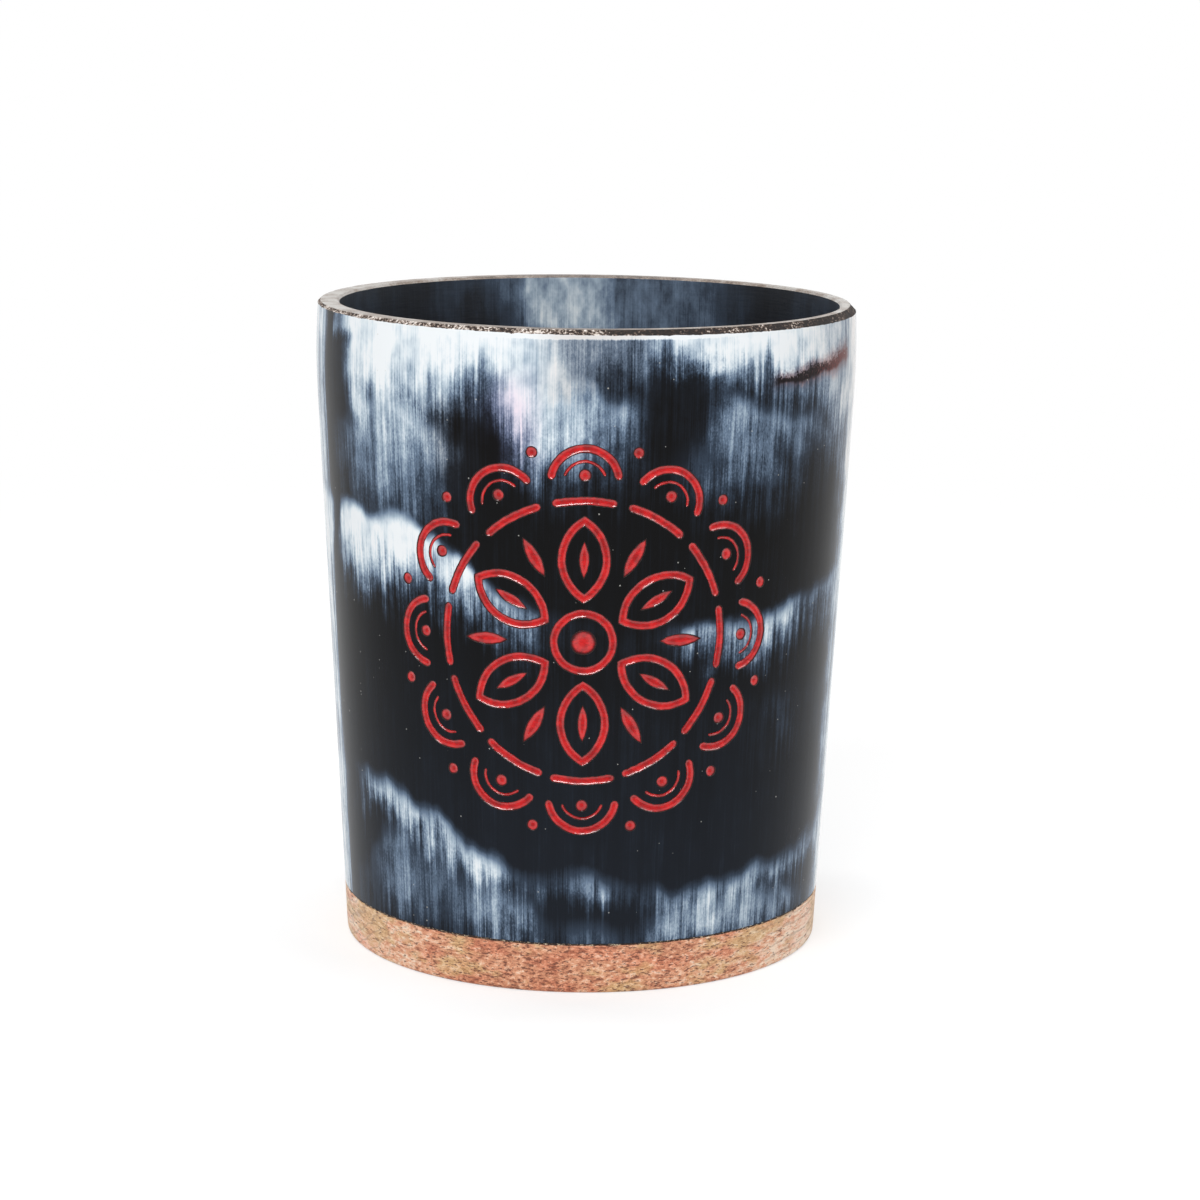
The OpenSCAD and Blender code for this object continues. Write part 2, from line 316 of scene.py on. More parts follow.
class Mesh:
    """Collects points and faces, and makes a Blender object of them with doubled points welded."""

    def __init__(self):
        self.points, self.faces, self.kinds, self.count = [], [], [], 0

    def add(self, points):
        points = np.asarray(points, float).reshape(-1, 3)
        start = self.count
        self.points.append(points)
        self.count += len(points)
        return np.arange(start, self.count)

    def face(self, corners, kind=0):
        self.faces.append(tuple(int(c) for c in corners))
        self.kinds.append(kind)

    def band(self, low, high, kind=0, flip=False):
        """Quads between two closed rows of equally many points."""
        for a, b, c, d in zip(low, np.roll(low, -1), np.roll(high, -1), high):
            self.face((d, c, b, a) if flip else (a, b, c, d), kind)

    def walk(self, row, turn, path):
        """Adds ring after ring, each with its radius, height, shift along +X and kind, and gives the last."""
        for r, z, shift, kind in path:
            low, row = row, self.add(on_circle(turn, r, z, shift))
            self.band(low, row, kind)
        return row

    def cap(self, row, centre, flip=False):
        for a, b in zip(row, np.roll(row, -1)):
            self.face((b, a, centre) if flip else (a, b, centre))

    def make(self, name, materials):
        points = np.concatenate(self.points)
        keys = np.round(points / (2e-4 * MM)).astype(np.int64)
        _, first, back = np.unique(keys, axis=0, return_index=True, return_inverse=True)
        back = back.reshape(-1)
        faces, kinds = [], []
        for corners, kind in zip(self.faces, self.kinds):
            kept = list(dict.fromkeys(int(back[c]) for c in corners))
            if len(kept) > 2:
                faces.append(kept)
                kinds.append(kind)
        used = np.zeros(len(first), bool)
        for corners in faces:
            used[corners] = True
        renumber = np.cumsum(used) - 1
        data = bpy.data.meshes.new(name)
        data.from_pydata(points[first][used].tolist(), [], [[int(renumber[c]) for c in f] for f in faces])
        data.polygons.foreach_set("material_index", kinds)
        data.polygons.foreach_set("use_smooth", [True] * len(faces))
        for material in materials:
            data.materials.append(material)
        data.update()
        piece = bpy.data.objects.new(name, data)
        bpy.context.scene.collection.objects.link(piece)
        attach(piece, ROOT)
        return piece


def inside(loop, points):
    """Which of the flat points lie inside a closed loop."""
    x, y = points[:, 0], points[:, 1]
    found = np.zeros(len(points), bool)
    near = np.where(
        (x > loop[:, 0].min()) & (x < loop[:, 0].max()) & (y > loop[:, 1].min()) & (y < loop[:, 1].max())
    )[0]
    if len(near):
        px, py = x[near, None], y[near, None]
        ax, ay = loop[:, 0], loop[:, 1]
        bx, by = np.roll(ax, -1), np.roll(ay, -1)
        crosses = (ay > py) != (by > py)
        with np.errstate(divide="ignore", invalid="ignore"):
            at = (bx - ax) * (py - ay) / (by - ay) + ax
        found[near] = (crosses & (px < at)).sum(1) % 2 == 1
    return found


# The sleeve, in columns round it and rows up it. Its front is a window that holds the grooves: so many
# columns to either side, between two levels.
COLUMNS = 720
ROWS_FROM = 9 * MM
ROW_STEP = 3 * MM
ROW_COUNT = 29
WINDOW = 93
WINDOW_LOW = 21 * MM
WINDOW_HIGH = 84 * MM
GRID_STEP = 1 * MM
GRID_CLEAR = 0.3 * MM
RIM_DROP = 0.03 * MM
BORE_STEP = 9 * MM
GRIT = 0.03 * MM
SHARP_ANGLE = 38
POLISHED, GROUND, LAND, BORE, CUT = range(5)


def sleeve(strokes, materials):
    mesh = Mesh()
    turn = np.arange(COLUMNS) * 2 * math.pi / COLUMNS
    low_z = [FOOT_Z + step * MM for step in (0, 0.12, 0.35, 0.8)]
    rows_z = np.array(low_z + [ROWS_FROM + ROW_STEP * i for i in range(ROW_COUNT)])
    first, last = (int(np.argmin(abs(rows_z - z))) for z in (WINDOW_LOW, WINDOW_HIGH))
    rows = []
    for i, z in enumerate(rows_z):
        level = np.full(COLUMNS, z)
        if i == 0:
            level = level + np.clip(rough_line(turn, 5, (37, 61, 97, 151, 233, 311), 0.05 * MM), 0, 0.2 * MM)
        rows.append(mesh.add(on_circle(turn, outer_r(level), level)))
    columns = np.arange(-WINDOW, WINDOW + 1)
    for i in range(len(rows) - 1):
        for k in range(COLUMNS):
            signed = k if k < COLUMNS / 2 else k - COLUMNS
            if first <= i < last and -WINDOW <= signed < WINDOW:
                continue
            n = (k + 1) % COLUMNS
            mesh.face((rows[i][k], rows[i][n], rows[i + 1][n], rows[i + 1][k]), POLISHED)
    fill_window(mesh, strokes, rows, rows_z, first, last, columns)

    # The bevel's edges wander, and its face is rough
    grit = (41, 67, 103, 157, 229, 283, 331)
    width = BEVEL_W + BEVEL_SHIFT * np.sin(turn)
    chips = np.clip(rough_line(turn, 11, (19, 29, 47, 71, 113, 173), 0.12 * MM) - 0.1 * MM, 0, 1)
    edge_z = CUP_H - width * BEVEL_H / BEVEL_W + rough_line(turn, 3, grit, 0.035 * MM) - chips
    edge_z = np.minimum(edge_z, CUP_H - 0.15 * MM)
    edge = mesh.add(on_circle(turn, outer_r(edge_z), edge_z))
    mesh.band(rows[-1], edge, POLISHED)
    top_r = RIM_R - width + rough_line(turn, 7, grit, GRIT)
    path = []
    for share in (0.25, 0.5, 0.75):
        r = outer_r(edge_z) * (1 - share) + top_r * share
        r = r + rough_line(turn, 20 + int(4 * share), grit, GRIT) - 0.02 * MM
        path.append((r, edge_z * (1 - share) + (CUP_H - RIM_DROP) * share, 0, GROUND))

    # Over the rim, down the bore, out over the seat, and back to the sleeve's lower end
    path += [
        (top_r, CUP_H - RIM_DROP, 0, GROUND),
        ((RIM_R - BEVEL_W + BORE_RIM_R + INNER_BEVEL) / 2, CUP_H, BORE_SHIFT / 2, LAND),
        (BORE_RIM_R + INNER_BEVEL, CUP_H - RIM_DROP, BORE_SHIFT, LAND),
        (bore_r(CUP_H - INNER_BEVEL), CUP_H - INNER_BEVEL, BORE_SHIFT, LAND),
    ]
    levels = np.arange(CUP_H - BORE_STEP / 3, FLOOR_Z + BORE_STEP / 3, -BORE_STEP)
    path += [(bore_r(z), z, BORE_SHIFT, BORE) for z in (*levels, FLOOR_Z)]
    path += [(SEAT_R, z, BORE_SHIFT, CUT) for z in (FLOOR_Z, FOOT_Z)]
    mesh.band(mesh.walk(edge, turn, path), rows[0], CUT)
    piece = mesh.make("horn_sleeve_polished", materials)
    set_normals(piece)
    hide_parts("horn_sleeve")


def fill_window(mesh, strokes, rows, rows_z, first, last, columns):
    """Fills the front of the sleeve with triangles round the strokes, and with the strokes' grooves."""
    flat, index, edges, loops = [], [], [], []

    def put(points, numbers):
        start = len(index)
        flat.extend(points.tolist())
        index.extend(int(n) for n in numbers)
        return start

    angle = 2 * math.pi / COLUMNS
    corner_rows = list(range(first, last + 1))
    border = [(first, c) for c in columns]
    border += [(i, columns[-1]) for i in corner_rows[1:]]
    border += [(last, c) for c in columns[-2::-1]]
    border += [(i, columns[0]) for i in corner_rows[-2:0:-1]]
    spots = np.array([[c * angle * ROSETTE_R, rows_z[i]] for i, c in border])
    put(spots, [rows[i][c % COLUMNS] for i, c in border])
    edges += [(k, (k + 1) % len(border)) for k in range(len(border))]

    for stroke, distance, a in strokes:
        rings = []
        for loop, inset in hidden_loops(stroke):
            depth = groove_depth(inset, stroke["half"])
            points, spots = place(loop, depth, distance, a)
            rings.append(mesh.add(points))
            if inset == 0:
                start = put(spots, rings[-1])
                edges += [(start + k, start + (k + 1) % len(loop)) for k in range(len(loop))]
                loops.append(spots)
        for outer, inner in zip(rings, rings[1:]):
            mesh.band(outer, inner, CUT, flip=turns_right(stroke["loops"][0]))

    # Free points on a fine grid, clear of the strokes
    u = np.arange(columns[0] + 2, columns[-1] - 1, 2) * angle * ROSETTE_R
    v = np.arange(rows_z[first] + GRID_STEP, rows_z[last] - GRID_STEP / 2, GRID_STEP)
    grid = np.stack(np.meshgrid(u, v), -1).reshape(-1, 2)
    clear = np.ones(len(grid), bool)
    for spots in loops:
        box = (grid > spots.min(0) - GRID_CLEAR).all(1) & (grid < spots.max(0) + GRID_CLEAR).all(1)
        near = np.where(box & clear)[0]
        if len(near):
            gap = np.linalg.norm(grid[near, None] - spots[None], axis=2).min(1)
            clear[near[gap < GRID_CLEAR]] = False
    within = sum(inside(loop, grid).astype(int) for loop in loops)
    grid = grid[clear & (within % 2 == 0)]
    numbers = mesh.add(on_circle(grid[:, 0] / ROSETTE_R, outer_r(grid[:, 1]), grid[:, 1]))
    put(grid, numbers)

    made = delaunay_2d_cdt([Vector(p) / MM for p in flat], edges, [], 0, 1e-7)
    spots = np.array([v[:] for v in made[0]]) * MM
    source = [int(origin[0]) if origin else -1 for origin in made[3]]
    middles = np.array([spots[list(f)].mean(0) for f in made[2]])
    within = sum(inside(loop, middles).astype(int) for loop in loops)
    if min(source) < 0:
        raise RuntimeError("strokes of the rosette cross")
    for f, count in zip(made[2], within):
        if count % 2 == 0:
            mesh.face([index[source[c]] for c in f], POLISHED)


def turns_right(loop):
    """True for a loop that runs clockwise."""
    x, y = loop[:, 0], loop[:, 1]
    return (x * np.roll(y, -1) - y * np.roll(x, -1)).sum() < 0


def read(items, name, width=1):
    """One value of every item of a mesh, as an array of numbers or of rows."""
    values = np.zeros(len(items) * width, float if width > 1 else int)
    items.foreach_get(name, values)
    return values.reshape(-1, width) if width > 1 else values


def set_normals(piece):
    """Gives the polished outside the normals of its true curve."""
    data = piece.data
    data.set_sharp_from_angle(angle=math.radians(SHARP_ANGLE))
    corners = read(data.corner_normals, "vector", 3)
    at = read(data.vertices, "co", 3)[read(data.loops, "vertex_index")]
    r = np.hypot(at[:, 0], at[:, 1])
    kind = np.repeat(read(data.polygons, "material_index"), read(data.polygons, "loop_total"))
    on_face = abs(r - outer_r(at[:, 2])) < 0.002 * MM
    above_foot = at[:, 2] > FOOT_Z + 0.3 * MM
    below_rim = at[:, 2] < CUP_H - 2 * MM
    true = on_face & above_foot & ((kind == POLISHED) | ((kind == CUT) & below_rim))
    slope = outer_slope(at[:, 2])
    smooth_normal = np.stack([at[:, 0] / r, at[:, 1] / r, -slope], -1)
    smooth_normal /= np.linalg.norm(smooth_normal, axis=1)[:, None]
    corners[true] = smooth_normal[true]
    data.normals_split_custom_set([Vector(n) for n in corners])


# The enamel
def enamel(name, strokes, material):
    mesh = Mesh()
    for stroke, distance, a in strokes:
        flip = turns_right(stroke["loops"][0])
        half = stroke["half"]
        edge = min(inset for inset in stroke["inset"] if inset >= LIP)
        top, under = [], []
        for loop, inset in zip(stroke["loops"], stroke["inset"]):
            if inset >= edge:
                top.append(mesh.add(place(loop, coat_depth(inset, half), distance, a)[0]))
        for loop, inset in hidden_loops(stroke):
            if inset >= edge:
                depth = coat_depth(inset, half)
                floor = depth if inset == edge else max(groove_depth(inset, half) - COAT_GAP, depth)
                under.append(mesh.add(place(loop, floor, distance, a)[0]))
        for outer, inner in zip(top, top[1:]):
            mesh.band(outer, inner, 0, flip=flip)
        for outer, inner in zip(under, under[1:]):
            mesh.band(outer, inner, 0, flip=not flip)
    piece = mesh.make(name + "_coat", [material])
    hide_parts(name)


# The wooden base, whose upper edge is a little worn
WEAR_FROM = 6.5 * MM


def base(material):
    mesh = Mesh()
    turn = np.arange(360) * math.pi / 180
    foot = float(outer_r(0))
    top = float(outer_r(BASE_H))
    wear = rough_line(turn, 17, (23, 41, 67, 89, 131), 0.025 * MM)
    rows = []
    for share in np.linspace(0, 1, 7):
        a = share * math.pi / 2
        rows.append((foot - BASE_ROUND * (1 - math.sin(a)), BASE_ROUND * (1 - math.cos(a))))
    rows += [(float(outer_r(z * MM)), z * MM) for z in (1.5, 3, 4.5, 6)]
    rows += [(top - TAPER * BASE_CHAMFER, BASE_H - BASE_CHAMFER)]
    row = mesh.add(on_circle(turn, *rows[0]))
    mesh.cap(row, mesh.add([[0, 0, 0]])[0], flip=True)
    path = [(r, z - abs(wear) * (z > WEAR_FROM), 0, 0) for r, z in rows[1:]]
    path += [(top - BASE_CHAMFER, BASE_H, 0, 0)]
    path += [(SEAT_R - GLUE_SIDE, z, BORE_SHIFT, 0) for z in (BASE_H, FLOOR_Z)]
    mesh.cap(mesh.walk(row, turn, path), mesh.add([[BORE_SHIFT, 0, FLOOR_Z]])[0])
    piece = mesh.make("wooden_base_turned", [material])
    piece.data.set_sharp_from_angle(angle=math.radians(30))
    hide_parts("wooden_base")


# The glue, whose outer face is an uneven line
GLUE_GAP = 0.01 * MM
GLUE_ROUND = 0.05 * MM


def glue(material):
    mesh = Mesh()
    turn = np.arange(COLUMNS) * 2 * math.pi / COLUMNS
    uneven = rough_line(turn, 23, (31, 53, 79, 127, 199, 277), 0.07 * MM)
    face = FOOT_R - GLUE_INSET + np.clip(uneven, -0.2 * MM, 0.1 * MM)
    low, high = BASE_H + GLUE_GAP, FOOT_Z - GLUE_GAP
    top, side = FLOOR_Z - 2 * GLUE_GAP, SEAT_R - GLUE_GAP
    path = [
        (face - GLUE_ROUND, low, 0, 0),
        (face, BASE_H + GLUE_LINE / 2, 0, 0),
        (face - GLUE_ROUND, high, 0, 0),
        (side, high, BORE_SHIFT, 0),
        (side, top, BORE_SHIFT, 0),
        (SEAT_R - GLUE_SIDE + GLUE_GAP, top, BORE_SHIFT, 0),
        (SEAT_R - GLUE_SIDE + GLUE_GAP, low, BORE_SHIFT, 0),
    ]
    first = mesh.add(on_circle(turn, side, low, BORE_SHIFT))
    mesh.band(mesh.walk(first, turn, path), first)
    piece = mesh.make("glue_line_set", [material])
    piece.data.set_sharp_from_angle(angle=math.radians(40))
    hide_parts("glue_film")


# Materials. Every pattern is worked out by nodes from the piece's own coordinates, in millimetres.
class Value:
    """A number worked out by nodes, so that sums of nodes can be written as sums."""

    def __init__(self, graph, socket):
        self.graph, self.socket = graph, socket

    def __add__(self, other):
        return self.graph.math("ADD", self, other)

    def __sub__(self, other):
        return self.graph.math("SUBTRACT", self, other)

    def __rsub__(self, other):
        return self.graph.math("SUBTRACT", other, self)

    def __mul__(self, other):
        return self.graph.math("MULTIPLY", self, other)

    def __truediv__(self, other):
        return self.graph.math("DIVIDE", self, other)


def put(tree, socket, value):
    """Sets a socket to a plain value, or links it to what works the value out."""
    if isinstance(value, Value):
        value = value.socket
    if isinstance(value, bpy.types.NodeSocket):
        tree.links.new(value, socket)
    else:
        socket.default_value = value


def add_node(tree, kind, inputs, **settings):
    node = tree.nodes.new(kind)
    for name, value in settings.items():
        setattr(node, name, value)
    for name, value in inputs.items():
        put(tree, node.inputs[name], value)
    return node


class Graph:
    """The nodes of one material."""

    def __init__(self, name):
        self.material = bpy.data.materials.new(name)
        self.material.use_nodes = True
        self.tree = self.material.node_tree
        self.shader = self.tree.nodes["Principled BSDF"]
        at = self.node("ShaderNodeTexCoord", {}).outputs["Object"]
        split = self.node("ShaderNodeSeparateXYZ", {"Vector": at})
        self.x, self.y, self.z = (Value(self, split.outputs[i]) * 1000 for i in range(3))

    def node(self, kind, inputs, **settings):
        return add_node(self.tree, kind, inputs, **settings)

    def math(self, operation, *values):
        node = self.node("ShaderNodeMath", dict(enumerate(values)), operation=operation)
        return Value(self, node.outputs[0])

    def step(self, value, low, high, bottom=0.0, top=1.0):
        """Rises smoothly from bottom to top while the value goes from low to high."""
        inputs = {"Value": value, "From Min": low, "From Max": high, "To Min": bottom, "To Max": top}
        node = self.node("ShaderNodeMapRange", inputs, interpolation_type="SMOOTHSTEP")
        return Value(self, node.outputs["Result"])

    def vector(self, x, y, z):
        return self.node("ShaderNodeCombineXYZ", {0: x, 1: y, 2: z}).outputs[0]

    def noise(self, x, y, z, detail=2.0, roughness=0.5):
        """Noise about zero, mostly between -0.25 and 0.25."""
        inputs = {"Vector": self.vector(x, y, z), "Scale": 1.0, "Detail": detail, "Roughness": roughness}
        return Value(self, self.node("ShaderNodeTexNoise", inputs).outputs[0]) - 0.5

    def specks(self, x, y, z, radius, share):
        """One in every cell of the pattern, of which a share shows."""
        node = self.node("ShaderNodeTexVoronoi", {"Vector": self.vector(x, y, z), "Scale": 1.0})
        chance = Value(self, self.node("ShaderNodeSeparateXYZ", {"Vector": node.outputs["Color"]}).outputs[0])
        size = self.step(chance, 1 - share, 1, 0.3 * radius, radius)
        dot = self.step(Value(self, node.outputs["Distance"]) / size, 1, 0.5)
        return dot * self.math("GREATER_THAN", chance, 1 - share)

    def ramp(self, value, stops):
        node = self.node("ShaderNodeValToRGB", {0: value})
        elements = node.color_ramp.elements
        while len(elements) < len(stops):
            elements.new(0.5)
        for element, (position, colour) in zip(elements, stops):
            element.position = position
            element.color = (*colour, 1)
        return node.outputs[0]

    def mix(self, share, below, above, blend="MIX"):
        below, above = ((*c, 1) if isinstance(c, tuple) else c for c in (below, above))
        inputs = {0: share, 6: below, 7: above}
        return self.node("ShaderNodeMix", inputs, data_type="RGBA", blend_type=blend).outputs[2]

    def finish(self, colour, roughness, height, depth, **others):
        bump = self.node("ShaderNodeBump", {"Height": height, "Distance": depth, "Strength": 1.0})
        values = {"base_color": colour, "roughness": roughness, "normal": bump.outputs[0], **others}
        for name, value in values.items():
            name = name.replace("_", " ").title().replace("Ior", "IOR")
            put(self.tree, self.shader.inputs[name], value)
        return self.material


# Pale layers in the horn, as wavy bands round it. Each row has an angle from the front in degrees, the
# heights of the band's top and foot there in mm, and its strength. A band that runs up to the rim has no top.
RIM_BAND = [
    (-180, 80, 0.90), (-150, 73, 0.85), (-120, 79, 0.75), (-95, 84, 0.60), (-78, 86, 0.35), (-67, 86, 0.35),
    (-60, 83, 0.80), (-50, 82, 0.95), (-36, 82, 0.97), (-29, 83.5, 0.92), (-23, 86, 0.86), (-18, 84, 0.90),
    (-12, 79, 0.90), (-4, 80, 0.62), (4, 86, 0.52), (11, 88, 0.54), (17, 88.6, 0.80), (29, 88, 1.0),
    (40, 87, 0.92), (50, 85.5, 0.84), (62, 81, 0.70), (78, 73, 0.78), (100, 70, 0.85), (125, 77, 0.70),
    (150, 84, 0.75), (180, 80, 0.90),
]
BRIGHT_BAND = [
    (-180, 92, 0.10), (-120, 92, 0.20), (-60, 91, 0.30), (-48, 90, 0.60), (-20, 90, 0.50), (-6, 92, 0.10),
    (10, 93, 0.0), (17, 91.5, 0.50), (28, 90.4, 0.85), (44, 89.8, 0.80), (58, 89.6, 0.50), (68, 91, 0.20),
    (180, 92, 0.10),
]
SECOND_BAND = [
    (-180, 72, 61, 0.10), (-150, 66, 58, 0.30), (-110, 77, 67, 0.50), (-80, 80, 72, 0.10),
    (-64, 80, 70, 0.22), (-55, 83, 69, 0.42), (-46, 83, 67.5, 0.52), (-38, 82, 68, 0.46), (-31, 81, 69, 0.38),
    (-25, 80, 70, 0.10), (-20, 82, 77, 0.10), (-14, 88, 76, 0.30), (-7, 89.6, 76, 0.44),
    (0, 88.4, 75.5, 0.52), (6, 86, 76, 0.46), (10, 84.6, 77, 0.18), (14, 86, 77, 0.16), (22, 85.4, 75, 0.36),
    (32, 84.6, 74, 0.50), (40, 83.6, 73.5, 0.46), (50, 82, 73, 0.36), (58, 80, 72, 0.14), (80, 74, 64, 0.20),
    (110, 66, 55, 0.60), (140, 70, 60, 0.70), (165, 73, 62, 0.30), (180, 72, 61, 0.10),
]
MIDDLE_BAND = [
    (-180, 58, 48, 0.85), (-150, 65, 54, 0.80), (-120, 69, 57, 0.55), (-95, 68, 55, 0.85),
    (-68, 67.6, 58, 0.80), (-54, 67.4, 58, 0.98), (-42, 66.4, 58.5, 0.97), (-35, 64.6, 57.5, 0.95),
    (-29, 62.8, 56.5, 0.94), (-20, 59.4, 54.5, 0.86), (-11, 56.6, 52.5, 0.60), (-4, 55, 52, 0.14),
    (12, 53, 50.5, 0.05), (20, 52.6, 50.2, 0.40), (30, 53.4, 50.4, 0.84), (42, 53.6, 50.6, 0.90),
    (54, 55, 51.6, 0.70), (70, 57, 52, 0.45), (95, 60, 49, 0.80), (120, 52, 43, 0.70), (150, 48, 39, 0.60),
    (180, 58, 48, 0.85),
]
LOWER_BAND = [
    (-180, 31, 24, 0.75), (-150, 24, 18, 0.70), (-120, 18, 13, 0.40), (-92, 26, 19, 0.60),
    (-68, 28.4, 24, 0.16), (-59, 29, 25, 0.42), (-52, 28.4, 24.5, 0.66), (-45, 27.4, 23, 0.62),
    (-38, 25.4, 21, 0.72), (-30, 22.6, 18.5, 0.74), (-23, 20.2, 16.5, 0.78), (-16, 17.8, 14.6, 0.66),
    (-10, 16.6, 14.2, 0.34), (-5, 17.1, 15.7, 0.34), (3, 17.0, 15.7, 0.50), (9, 16.0, 14.8, 0.36),
    (13, 15.2, 13.8, 0.20), (17, 14.8, 13.0, 0.66), (28, 14.4, 12.4, 0.80), (39, 15, 13, 0.72),
    (50, 16.4, 14.2, 0.68), (62, 18, 15.2, 0.42), (82, 21, 15, 0.40), (110, 25, 18, 0.75),
    (140, 20, 16, 0.35), (165, 29, 22, 0.60), (180, 31, 24, 0.75),
]
FOOT_BAND = [
    (-180, 12, 6, 0.10), (-130, 14, 7, 0.40), (-90, 12, 6, 0.20), (-60, 14, 8, 0.08), (-54, 20, 9, 0.26),
    (-47, 21, 9, 0.38), (-40, 20, 8, 0.24), (-33, 18, 8, 0.22), (-26, 15.5, 8, 0.30), (-18, 14, 8, 0.50),
    (-12, 13, 8, 0.50), (-8, 11, 7, 0.14), (-4, 9.2, 6, 0.16), (2, 9.8, 6.4, 0.32), (8, 9, 6, 0.10),
    (14, 10, 6, 0.12), (18, 12, 6.2, 0.46), (38, 12, 6.4, 0.54), (56, 11.6, 6.6, 0.42), (66, 10, 7, 0.16),
    (90, 9, 6, 0.20), (150, 13, 7, 0.45), (180, 12, 6, 0.10),
]
SIDE_BAND = [
    (-180, 46, 30, 0.0), (-150, 45, 33, 0.35), (-125, 48, 33, 0.70), (-104, 45, 32, 0.62),
    (-80, 44, 32, 0.15), (-66, 44, 34, 0.0), (44, 42, 36, 0.05), (49, 42, 36, 0.16), (56, 42, 35, 0.05),
    (80, 43, 33, 0.15), (110, 44, 31, 0.75), (135, 40, 30, 0.60), (160, 44, 32, 0.2), (180, 46, 30, 0.0),
]
# How softly each band ends, in mm: at its top, if it has one, and along the fibres at its foot
OUTER_BANDS = [
    (RIM_BAND, None, 8.5), (BRIGHT_BAND, None, 2.6), (SECOND_BAND, 2.6, 8.0), (MIDDLE_BAND, 2.6, 6.5),
    (LOWER_BAND, 3.2, 4.2), (FOOT_BAND, 4.0, 4.0), (SIDE_BAND, 4.0, 7.0),
]
INNER_BAND = [
    (-180, 83, 0.84), (-172, 82, 0.86), (-164, 84, 0.56), (-155, 86, 0.26), (-143, 84, 0.16),
    (-128, 84, 0.10), (-110, 82, 0.16), (-88, 80, 0.10), (-60, 60, 0.35), (-30, 66, 0.45), (10, 50, 0.52),
    (40, 70, 0.30), (80, 78, 0.18), (112, 84, 0.16), (130, 84, 0.08), (143, 82, 0.22), (152, 80, 0.34),
    (160, 80, 0.40), (167, 82, 0.36), (173, 83, 0.64), (180, 83, 0.84),
]
INNER_LOWER_BAND = [
    (-180, 42, 26, 0.25), (-140, 38, 24, 0.45), (-100, 46, 32, 0.28), (-60, 54, 40, 0.45),
    (-20, 46, 32, 0.25), (20, 38, 24, 0.42), (60, 48, 34, 0.45), (100, 40, 26, 0.36), (140, 48, 34, 0.20),
    (180, 42, 26, 0.25),
]
INNER_BANDS = [(INNER_BAND, None, 11.0), (INNER_LOWER_BAND, 7.0, 9.0)]
# Single patches: the angle of the middle and half the width in degrees, the height and feather of
# the lower edge and of the upper edge, how far both edges rise over half the width, and the strength
OPEN_TOP = (130, 1)
DARK_PATCHES = [
    (-63, 6, (80, 6), (92.5, 3), 0, 0.75),
    (-22, 5, (66, 8), (83, 7), -1, 0.70),
    (20, 10, (77, 5), (88.6, 2.5), 0, 0.85),
    (13, 4, (66, 8), (90, 5), 0, 0.60),
    (-68, 4, (-1, 1), OPEN_TOP, 0, 0.90),
]


PATTERN_R = 38


